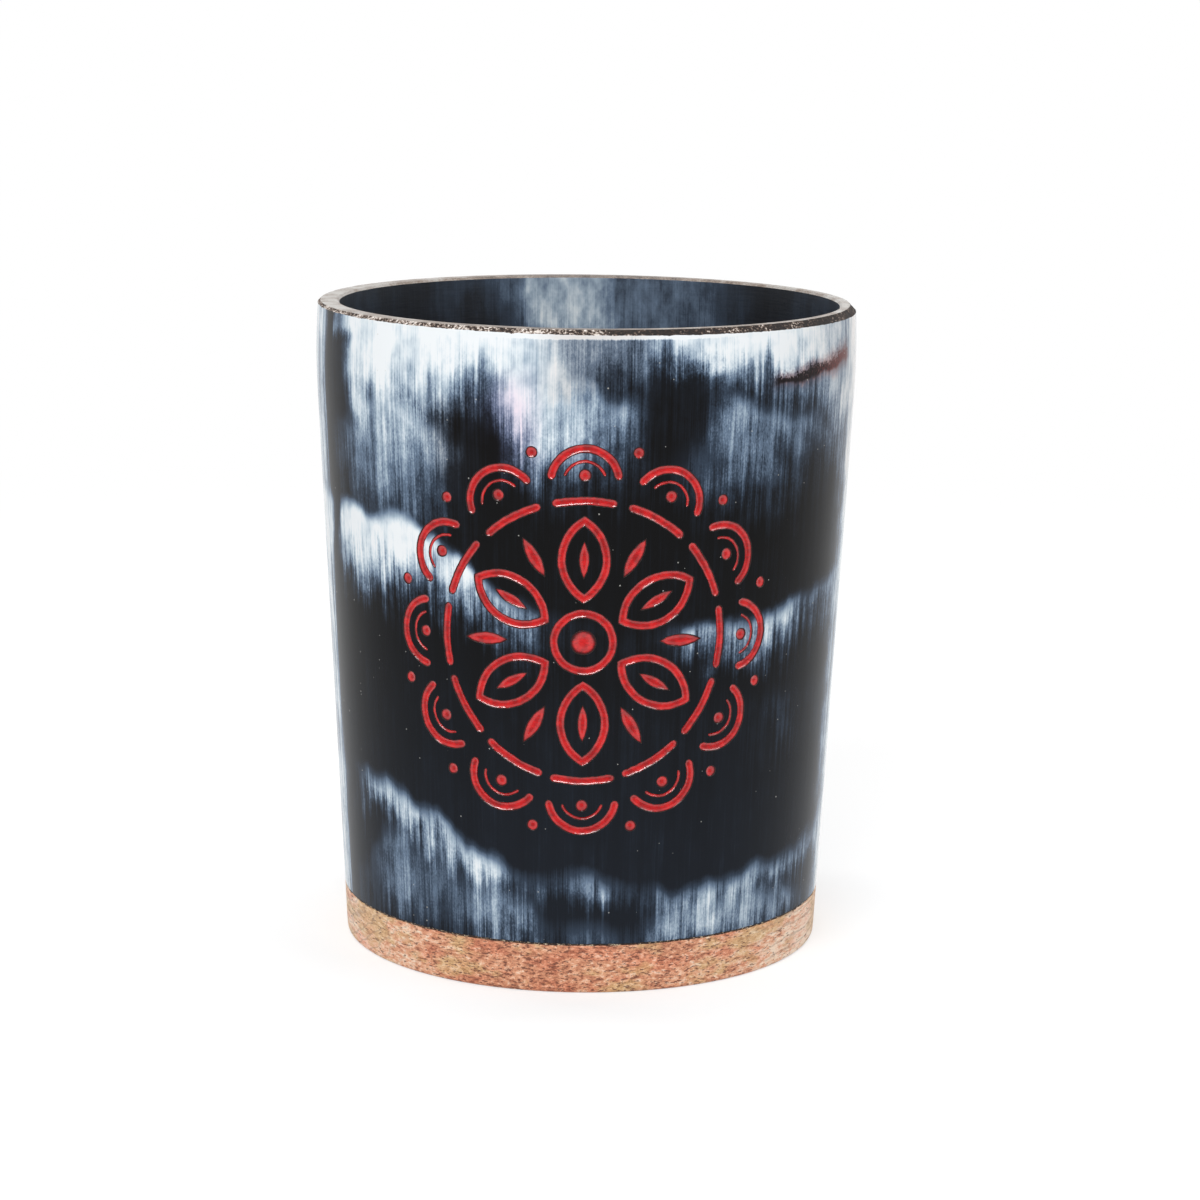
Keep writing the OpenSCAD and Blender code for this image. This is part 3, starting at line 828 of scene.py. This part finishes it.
class Horn(Graph):
    """Horn's fibres run up the cup, and its pale layers are drawn out along them."""

    def __init__(self, name):
        super().__init__(name)
        r = self.math("SQRT", self.x * self.x + self.y * self.y)
        self.east = self.x / r * PATTERN_R
        self.north = self.y / r * PATTERN_R
        self.fibres = self.streaks(1.3, 0.035, 4)
        self.broad = self.streaks(0.3, 0.03, 2)
        self.fine = self.streaks(5.5, 0.10, 2)
        self.grain = self.noise(self.east * 4.2, self.north * 4.2, self.z * 2.6, 3, 0.65)
        self.drift = self.noise(self.east * 0.3, self.north * 0.3, self.z * 0.24, 3)
        wave = self.noise(self.east * 0.14, self.north * 0.14, self.z * 0.05)
        self.bend = self.noise(self.east * 0.12, self.north * 0.12, self.z * 0.09 + 7)
        self.true_turn = self.math("ARCTAN2", self.x, self.y * -1.0) * (180 / math.pi)
        self.turn = self.true_turn + self.bend * 12 + self.broad * 7
        self.mottle = self.noise(self.east * 0.19, self.north * 0.19, self.z * 0.11 + 3, 4, 0.6)
        self.foot_level = (
            self.z + self.fibres * 8.5 + self.broad * 8 + self.fine * 3 + self.drift * 6 + self.grain * 1.6
        )
        self.top_level = (
            self.z + wave * 5 + self.fibres * 1.6 + self.drift * 2.5 + self.fine * 0.8 + self.grain * 1.2
        )

    def streaks(self, across_mm, along_mm, detail):
        return self.noise(self.east * across_mm, self.north * across_mm, self.z * along_mm, detail, 0.6)

    def curve(self, turn_share, points, top):
        """A smooth curve through points of an angle in degrees and a value from zero to top."""
        node = self.node("ShaderNodeFloatCurve", {"Value": turn_share})
        line = node.mapping.curves[0]
        while len(line.points) < len(points):
            line.points.new(0.5, 0.5)
        for knot, (turn, value) in zip(line.points, points):
            knot.location = ((turn + 180) / 360, value / top)
            knot.handle_type = "AUTO_CLAMPED"
        node.mapping.update()
        return Value(self, node.outputs[0]) * top

    def band(self, rows, softness, feather):
        share = self.math("WRAP", self.turn * (1 / 360) + 0.5, 1.0, 0.0)
        foot = self.curve(share, [(row[0], row[-2]) for row in rows], 100)
        cover = self.curve(share, [(row[0], row[-1]) for row in rows], 1)
        cover = cover * self.step(self.foot_level - foot, -feather, feather)
        if softness:
            top = self.curve(share, [(row[0], row[1]) for row in rows], 100)
            cover = cover * self.step(self.top_level - top, softness * 0.6, -softness * 0.6)
        return cover

    def patch(self, turn, half, lower, upper, rise, strength):
        across = self.math("WRAP", self.turn - turn, 180.0, -180.0) * (1 / half)
        cover = self.step(self.math("ABSOLUTE", across), 1.15, 0.2, 0.0, strength)
        if lower[0] > 0:
            level = self.foot_level - across * rise if rise else self.foot_level
            cover = cover * self.step(level, lower[0] - lower[1] / 2, lower[0] + lower[1] / 2)
        if upper is not OPEN_TOP:
            level = self.top_level - across * rise if rise else self.top_level
            cover = cover * self.step(level, upper[0] + upper[1] / 2, upper[0] - upper[1] / 2)
        return cover

    def clear_share(self, covers):
        """The share that none of several covers hides."""
        clear = 1.0 - covers[0]
        for cover in covers[1:]:
            clear = clear - clear * cover
        return clear

    def shade(self, bands, patches=(), edges=(), streak=1.0, mottle=1.35):
        """From black at zero to white at one, with fibres and grain where a layer thins out."""
        clear = self.clear_share([self.band(*band) for band in bands])
        if patches:
            clear = 1.0 - (1.0 - clear) * self.clear_share([self.patch(*entry) for entry in patches])
        # Edges given here, such as the painted reflections down the sides, pale the horn as a layer does
        for edge in edges:
            clear = clear - clear * edge
        pale = 1.0 - clear
        edge = pale * clear
        contrast = self.fibres + self.fine * 0.8 + self.drift * 0.7
        shade = pale * (self.mottle * mottle + 1.0) + self.grain * edge * 1.5 * streak
        shade = shade + contrast * (edge * 0.9 + pale * 0.18 + 0.15) * streak
        return self.math("MAXIMUM", shade, 0.0)

    def tones(self, shade):
        return self.ramp(shade, [
            (0.0, (0.0035, 0.0035, 0.004)), (0.12, (0.009, 0.012, 0.018)), (0.3, (0.032, 0.048, 0.075)),
            (0.5, (0.13, 0.185, 0.265)), (0.7, (0.35, 0.435, 0.52)), (0.88, (0.62, 0.69, 0.735)),
            (1.0, (0.75, 0.78, 0.80)),
        ])


def polished_horn():
    g = Horn("polished_horn")
    # The dark horn turns paler and bluer towards the foot
    paler_towards_foot = g.step(g.z + g.broad * 30, 62, 8, 0.0, 0.105)
    # Painted reflections and a painted highlight: pale strips down both sides stand in for the bright
    # surroundings mirrored at the grazing edges, and a pale line for the light caught by the polished edge
    # under the bevel
    side = g.true_turn + g.bend * 55 + g.drift * 24 + g.fibres * 8
    fibrous = g.drift * 0.3 + g.fibres * 1.1
    left = g.step(g.true_turn + g.broad * 5 + g.drift * 3, -70, -74.5) * g.step(side, -108, -86)
    right = g.step(g.true_turn + g.broad * 7 + g.drift * 4, 67, 82) * g.step(side, 112, 88)
    sides = (left * (fibrous + 0.62), right * (fibrous + 0.76))
    # Painted highlight along the polished edge under the bevel
    painted_edge_highlight = g.step(g.z + g.grain * 0.3, 93.55, 93.9) * g.step(g.math("ABSOLUTE", g.turn - 6), 30, 10) * 0.55
    colour = g.tones(g.shade(OUTER_BANDS, DARK_PATCHES, sides) + paler_towards_foot + painted_edge_highlight)
    # Warm and rosy places in the pale horn
    for tint, *spot in (
        ((0.98, 0.80, 0.90), -16, 8, (74, 8), (87, 6), 0, 0.8),
        ((0.90, 0.72, 0.60), -28, 8, (73, 8), (85, 6), 0, 0.6),
        ((0.80, 0.72, 0.68), 1, 12, (86, 4), OPEN_TOP, 0, 0.75),
        ((1.0, 0.91, 0.86), 76, 30, (68, 10), OPEN_TOP, 0, 0.8),
        ((1.0, 0.84, 0.72), -150, 22, (62, 8), (80, 5), 0, 0.5),
    ):
        colour = g.mix(g.patch(*spot), colour, tint, "MULTIPLY")
    # A rust-brown flaw under the rim, at the right
    across = (g.true_turn - 56) * (1 / 17)
    off = g.math("ABSOLUTE", g.z + g.grain * 1.8 + g.drift * 3 - 87.9 - across * 1.5)
    thick = across * 0.3 + 1.05
    ends = g.step(g.math("ABSOLUTE", across), 1.0, 0.75)
    halo = g.step(off / thick, 2.4, 0.4) * ends
    colour = g.mix(halo * 0.85, colour, (0.55, 0.25, 0.22), "MULTIPLY")
    core = g.step(off / thick + g.grain * 1.6, 1.0, 0.35) * ends
    rust = g.ramp(across * 0.5 + g.grain + 0.5, [(0.45, (0.007, 0.004, 0.004)), (0.8, (0.12, 0.018, 0.015))])
    colour = g.mix(core * 0.95, colour, rust)
    dust = g.specks(g.x, g.y, g.z, 0.15, 0.13)
    colour = g.mix(dust * 0.6, colour, (0.5, 0.5, 0.47))
    haze = g.noise(g.x * 0.16, g.y * 0.16, g.z * 0.12, 3)
    lines = g.noise(g.east * 1.3 + g.z * 0.5, g.north * 1.3 - g.z * 0.5, g.z * 0.11)
    hairs = g.step(g.math("ABSOLUTE", lines), 0.004, 0.0)
    roughness = haze * 0.12 + hairs * 0.12 + g.fine * 0.05 + 0.15
    height = g.fibres * 0.5 + g.fine * 0.3
    gloss = {"specular_ior_level": 0.08, "sheen_weight": 0.02, "sheen_roughness": 0.2}
    return g.finish(colour, roughness, height, 0.000012, **gloss)


def bore_horn():
    g = Horn("bore_horn")
    colour = g.tones(g.shade(INNER_BANDS, streak=0.35, mottle=2.2) * 0.98)
    spot = g.specks(g.x * 0.11, g.y * 0.11, g.z * 0.11, 0.09, 0.5)
    colour = g.mix(spot, colour, (0.25, 0.10, 0.04))
    turned = g.noise(g.x * 0.3, g.y * 0.3, g.z * 3.1, 2)
    roughness = g.fibres * 0.15 + 0.4
    return g.finish(colour, roughness, turned + g.fine * 0.5, 0.00002, specular_ior_level=0.35)


def ground_horn():
    g = Graph("ground_horn")
    chips = g.noise(g.x * 2.6, g.y * 2.6, g.z * 3.2, 4, 0.7)
    long = g.noise(g.x * 0.25, g.y * 0.25, g.z * 0.2, 2)
    shaded = g.step(g.x + g.y * 0.3, -26, 4, 0.07, -0.05)
    colour = g.ramp(chips + long * 0.5 + shaded + 0.5, [
        (0.3, (0.005, 0.004, 0.004)), (0.49, (0.016, 0.010, 0.008)), (0.56, (0.08, 0.048, 0.034)),
        (0.62, (0.40, 0.33, 0.28)), (0.7, (0.74, 0.70, 0.66)),
    ])
    return g.finish(colour, 0.75, chips, 0.00012, specular_ior_level=0.3)


def rim_horn():
    g = Graph("rim_horn")
    brown = g.noise(g.x * 0.35, g.y * 0.35, g.z * 0.1, 3)
    fleck = g.noise(g.x * 3.0, g.y * 3.0, g.z * 3.0, 3, 0.6)
    side = g.math("ABSOLUTE", g.x) * (1 / 38)
    colour = g.ramp(brown * 0.7 + fleck * 0.45 + side * 0.32 + 0.26, [
        (0.2, (0.05, 0.035, 0.028)), (0.42, (0.20, 0.155, 0.125)), (0.58, (0.36, 0.335, 0.31)),
        (0.75, (0.47, 0.46, 0.44)),
    ])
    return g.finish(colour, 0.42, fleck, 0.00003, specular_ior_level=0.4)


def cut_horn():
    g = Graph("cut_horn")
    marks = g.noise(g.x * 1.5, g.y * 1.5, g.z * 6.0, 3, 0.6)
    colour = g.ramp(marks + 0.5, [(0.35, (0.006, 0.005, 0.005)), (0.65, (0.05, 0.035, 0.03))])
    return g.finish(colour, 0.6, marks, 0.00003, specular_ior_level=0.3)


def red_enamel():
    g = Graph("red_enamel")
    r = g.math("SQRT", g.x * g.x + g.y * g.y)
    depth = g.z * TAPER + (FOOT_R - TAPER * FOOT_Z) / MM - r
    pool = g.noise(g.x * 0.8, g.y * 0.8, g.z * 0.8, 2)
    ridges = g.noise(g.x * 0.9, g.y * 0.9, g.z * 2.7, 3, 0.6)
    grit = g.noise(g.x * 7.0, g.y * 7.0, g.z * 7.0, 2, 0.6)
    # The coat is darker where it is shallow at the stroke's edges: partly because it is thin on the groove's
    # walls, so the dark horn shows through, and partly painted shade of those walls
    deep = g.step(depth + pool * 0.06 + grit * 0.06, 0.07, 0.17)
    tone = g.ramp(pool + ridges * 0.8 + 0.5, [
        (0.3, (0.29, 0.002, 0.003)), (0.5, (0.44, 0.003, 0.005)), (0.68, (0.56, 0.008, 0.009)),
    ])
    colour = g.mix(deep, (0.035, 0.002, 0.003), tone)
    roughness = grit * 0.08 + 0.07
    # Its slopes keep their polish, which its edge and its middle lose
    polish = g.step(g.math("ABSOLUTE", depth + grit * 0.03 - 0.185), 0.035, 0.085, 0.68, 0.22)
    return g.finish(colour, roughness, pool + ridges * 0.4, 0.00005, specular_ior_level=polish)


def wood(name, dark, **gloss):
    """Hardwood whose grain runs along Y, so that pores show as dots at the front and lines at the sides."""
    g = Graph(name)
    side = g.math("ABSOLUTE", g.x) / g.math("SQRT", g.x * g.x + g.y * g.y + 1.0)
    long_grain = g.step(side, 0.5, 0.9)
    pale_side = g.step(g.x, -30, 30, 0.24, 0.30)
    drift = g.noise(g.x * 0.09, g.y * 0.03, g.z * 0.2, 3)
    ring_r = g.math("SQRT", (g.x - 34) * (g.x - 34) + (g.z + 46) * (g.z + 46))
    sway = g.noise(g.x * 0.5, g.y * 0.04, g.z * 0.5, 2)
    rings = g.math("SINE", ring_r * 4.2 + drift * 16 + sway * 7)
    grain = g.noise(g.x * 0.9, g.y * 0.09, g.z * 1.7, 4, 0.65)
    pores = g.noise(g.x * 1.6, g.y * 0.13, g.z * 4.2, 2, 0.6)
    flecks = g.noise(g.x * 2.6, g.y * 0.8, g.z * 4.2, 4, 0.75)
    patch = g.noise(g.x * 0.15 + 3, g.y * 0.1, g.z * 0.28, 3)
    rosy = g.noise(g.x * 0.2 + 9, g.y * 0.1, g.z * 0.3, 2)
    mixed = grain * 1.5 + rings * 0.05 + flecks + drift * 0.6
    tone = g.ramp(mixed + long_grain * pale_side + 0.5, [
        (0.22, (0.30, 0.105, 0.058)), (0.42, (0.53, 0.22, 0.122)), (0.58, (0.69, 0.325, 0.188)),
        (0.74, (0.80, 0.50, 0.34)), (0.9, (0.86, 0.68, 0.53)),
    ])
    yellow = g.step(patch + long_grain * 0.05, 0.0, 0.12, 0.0, 0.75)
    tan = g.ramp(grain + flecks * 0.8 + 0.5, [
        (0.3, (0.40, 0.24, 0.10)), (0.5, (0.64, 0.42, 0.2)), (0.7, (0.78, 0.60, 0.38)),
    ])
    tone = g.mix(yellow, tone, tan)
    hole = g.step(pores + flecks * 0.3 - long_grain * 0.05, 0.055, 0.14, 0.0, 0.88)
    lines = g.step(rings, 0.72, 1.0) * long_grain
    tone = g.mix(g.step(rosy, -0.02, 0.14, 0.0, 0.7), tone, (1.0, 0.80, 0.78), "MULTIPLY")
    tone = g.mix(g.step(flecks, 0.14, 0.26, 0.0, 0.65), tone, (0.9, 0.74, 0.62))
    tone = g.mix(hole, tone, (0.15, 0.05, 0.032))
    tone = g.mix(lines * 0.45, tone, (0.30, 0.15, 0.085))
    tone = g.mix(dark, tone, (0.55, 0.33, 0.2), "MULTIPLY")
    return g.finish(tone, hole * 0.2 + 0.42, flecks * 0.5 - hole, 0.00006, **gloss)


def set_glue():
    g = Graph("set_glue")
    lumps = g.noise(g.x * 1.9, g.y * 1.9, g.z * 4.0, 4, 0.7)
    colour = g.ramp(lumps + 0.5, [
        (0.42, (0.010, 0.006, 0.005)), (0.55, (0.06, 0.03, 0.018)), (0.62, (0.55, 0.46, 0.33)),
    ])
    return g.finish(colour, 0.6, lumps, 0.0001, specular_ior_level=0.3)


strokes = rosette()
surfaces = [polished_horn(), ground_horn(), rim_horn(), bore_horn(), cut_horn()]
sleeve([stroke for group in strokes.values() for stroke in group], surfaces)
red = red_enamel()
for node_name, group in strokes.items():
    enamel(node_name, group, red)
base(wood("turned_wood", 0.0, specular_ior_level=0.35))
glue(set_glue())
sealed = wood("sealed_wood", 0.85, specular_ior_level=0.5, coat_weight=0.8, coat_roughness=0.12)
seal_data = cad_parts["floor_seal"].data
seal_data.materials.clear()
seal_data.materials.append(sealed)


# Stage: a white floor and world, whose floor keeps the cup's shadow, under plain soft light
FLOOR_REACH = 4.0
FLOOR_DROP = 0.01 * MM
FLOOR_PALE = (0.8, 0.8, 0.8, 1)
FLOOR_SHADE = (0.5, 0.5, 0.5, 1)
FLOOR_GLOW = 0.5
FADE_FROM, FADE_TO = 0.12, 0.45
AMBIENT = 0.42
AIM = Vector((0, 0, 0.05))


def white_for(tree, straight, bounced):
    """Mixes two shaders: one that the camera and reflections see, and one that lights the cup."""
    path = add_node(tree, "ShaderNodeLightPath", {}).outputs
    seen = path["Is Camera Ray"]
    for name in ("Is Glossy Ray", "Is Transmission Ray"):
        seen = add_node(tree, "ShaderNodeMath", {0: seen, 1: path[name]}, operation="MAXIMUM").outputs[0]
    return add_node(tree, "ShaderNodeMixShader", {0: seen, 1: bounced, 2: straight}).outputs[0]


def make_floor():
    data = bpy.data.meshes.new("floor")
    signs = ((-1, -1), (1, -1), (1, 1), (-1, 1))
    data.from_pydata([(x * FLOOR_REACH, y * FLOOR_REACH, -FLOOR_DROP) for x, y in signs], [], [(0, 1, 2, 3)])
    floor = bpy.data.objects.new("floor", data)
    bpy.context.scene.collection.objects.link(floor)
    material = bpy.data.materials.new("white_floor")
    material.use_nodes = True
    data.materials.append(material)
    tree = material.node_tree
    tree.nodes.remove(tree.nodes["Principled BSDF"])
    pale = add_node(tree, "ShaderNodeBsdfDiffuse", {"Color": FLOOR_PALE}).outputs[0]
    shadowed = add_node(tree, "ShaderNodeBsdfDiffuse", {"Color": FLOOR_SHADE}).outputs[0]
    glow = add_node(tree, "ShaderNodeEmission", {"Strength": FLOOR_GLOW}).outputs[0]
    near = add_node(tree, "ShaderNodeAddShader", {0: shadowed, 1: glow}).outputs[0]
    far = add_node(tree, "ShaderNodeEmission", {"Strength": 1}).outputs[0]
    at = add_node(tree, "ShaderNodeTexCoord", {}).outputs["Object"]
    away = add_node(tree, "ShaderNodeVectorMath", {0: at}, operation="LENGTH").outputs["Value"]
    limits = {"Value": away, "From Min": FADE_FROM, "From Max": FADE_TO}
    fade = add_node(tree, "ShaderNodeMapRange", limits, interpolation_type="SMOOTHSTEP").outputs[0]
    seen = add_node(tree, "ShaderNodeMixShader", {0: fade, 1: near, 2: far}).outputs[0]
    put(tree, tree.nodes["Material Output"].inputs["Surface"], white_for(tree, seen, pale))


def make_world():
    world = bpy.data.worlds.new("studio")
    bpy.context.scene.world = world
    world.use_nodes = True
    tree = world.node_tree
    white = (1, 1, 1, 1)
    seen = tree.nodes["Background"]
    put(tree, seen.inputs["Color"], white)
    put(tree, seen.inputs["Strength"], 1)
    ambient = add_node(tree, "ShaderNodeBackground", {"Color": white, "Strength": AMBIENT})
    surface = white_for(tree, seen.outputs[0], ambient.outputs[0])
    put(tree, tree.nodes["World Output"].inputs["Surface"], surface)


def soft_lamp(name, spot, size, power):
    data = bpy.data.lights.new(name, "AREA")
    data.shape = "RECTANGLE"
    data.size, data.size_y = size
    data.energy = power
    lamp = bpy.data.objects.new(name, data)
    bpy.context.scene.collection.objects.link(lamp)
    lamp.location = spot
    lamp.rotation_euler = (AIM - lamp.location).to_track_quat("-Z", "Y").to_euler()


make_floor()
make_world()
soft_lamp("key", (-0.4, -1.15, 1.05), (1.2, 0.3), 16)
soft_lamp("fill", (1.1, -0.5, 0.9), (0.7, 0.4), 4)
soft_lamp("top", (0, 0.2, 1.5), (1.2, 0.07), 10)
bpy.context.scene.view_settings.view_transform = "Standard"
